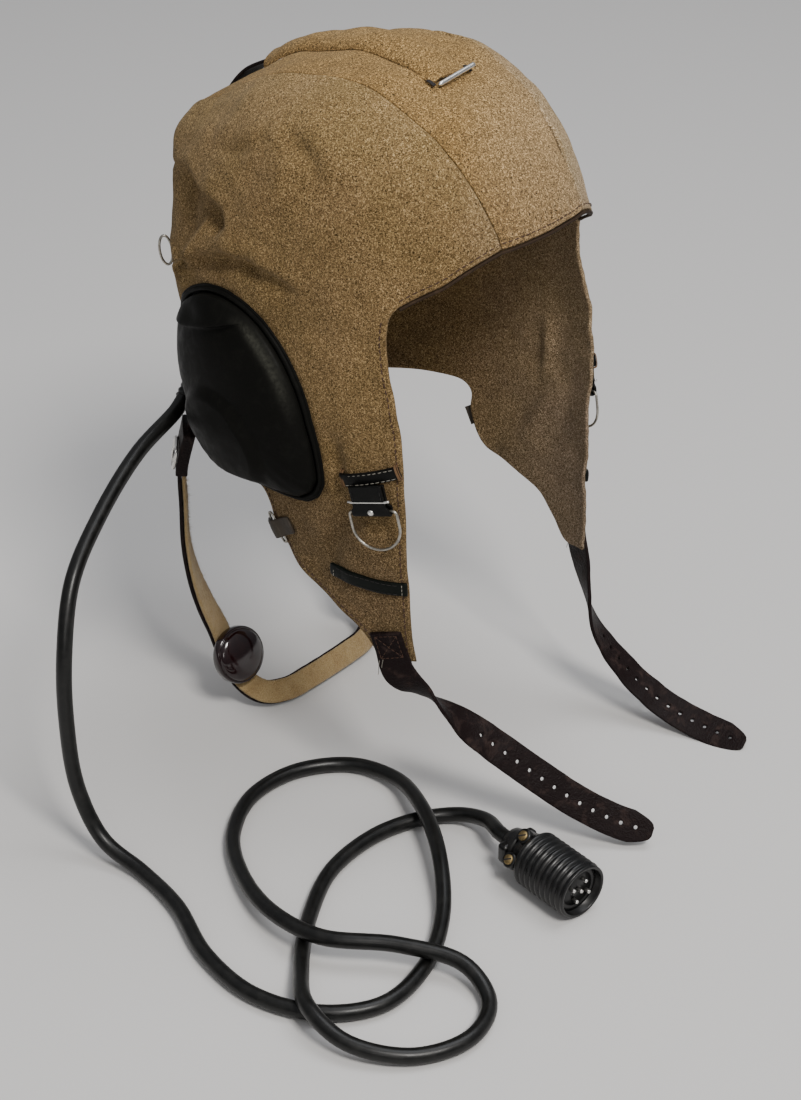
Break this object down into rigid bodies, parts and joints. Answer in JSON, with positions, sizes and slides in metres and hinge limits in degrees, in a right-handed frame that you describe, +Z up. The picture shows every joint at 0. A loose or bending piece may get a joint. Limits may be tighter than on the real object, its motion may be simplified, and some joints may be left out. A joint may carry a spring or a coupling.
{
  "type": "flying helmet",
  "caption": "Cloth flying helmet with leather ear cups, punched chin straps, a collar with throat microphones, and a loose cord ending in a round multi-pin plug.",
  "frame": {"origin": "middle of the head at the level of the temples, where a head or a stand holds the helmet", "axes": "+Z up, the face looks along -Y, the wearer's right side is at -X"},
  "size_m": [0.3196, 0.3096, 0.3691],
  "materials": {
    "cloth_brown": "matt woven",
    "cloth_middle": "matt woven",
    "binding": "matt",
    "black_leather": "satin",
    "dark_leather": "satin",
    "green_leather": "satin",
    "felt": "fuzzy",
    "steel": "bright",
    "brass": "tarnished",
    "burgundy_bakelite": "gloss",
    "rubber": "semi-gloss",
    "black_bakelite": "semi-gloss"
  },
  "bodies": {
    "helmet": {"center_panel": "cloth_middle", "side_panel_right": "cloth_brown", "side_panel_left": "cloth_brown", "brow_binding": "binding", "top_channel": "cloth_middle", "channel_bar": "steel", "crown_strap": "dark_leather", "ear_cup_right": "black_leather", "ear_cup_left": "black_leather", "ear_piping_right": "black_leather", "ear_piping_left": "black_leather", "upper_band_right": "black_leather", "upper_band_left": "black_leather", "lower_band_right": "green_leather", "lower_band_left": "green_leather", "ring_tab_right": "dark_leather", "ring_tab_left": "dark_leather", "hook_tab_right": "dark_leather", "hook_tab_left": "dark_leather", "hook_wire_right": "steel", "hook_wire_left": "steel", "nape_ring_right": "steel", "nape_ring_left": "steel", "chin_strap_right": "dark_leather", "chin_strap_left": "dark_leather", "mic_collar": "dark_leather", "mic_lining": "felt", "mic_capsule_right": "burgundy_bakelite", "mic_capsule_left": "burgundy_bakelite", "collar_tab_right": "dark_leather", "collar_tab_left": "dark_leather", "collar_buckle_right": "steel", "collar_buckle_left": "steel", "cord": "rubber", "cord_gland": "rubber", "plug_body": "black_bakelite", "plug_insert": "black_bakelite", "plug_pin_1": "steel", "plug_pin_2": "steel", "plug_pin_3": "steel", "plug_pin_4": "steel", "plug_pin_5": "steel", "plug_clamp": "black_bakelite", "clamp_screw_1": "brass", "clamp_screw_2": "brass"},
    "right_ring": {"d_ring_right": "steel"},
    "left_ring": {"d_ring_left": "steel"}
  },
  "joints": [
    {"name": "right_ring_swing", "type": "hinge", "parent": "helmet", "child": "right_ring", "pos_m": [-0.08076, -0.06198, -0.07718], "axis": [-0.2802, 0.9355, -0.2151], "range_deg": [0, 150]},
    {"name": "left_ring_swing", "type": "hinge", "parent": "helmet", "child": "left_ring", "pos_m": [0.08076, -0.06198, -0.07718], "axis": [-0.2802, -0.9355, 0.2151], "range_deg": [0, 150]}
  ]
}
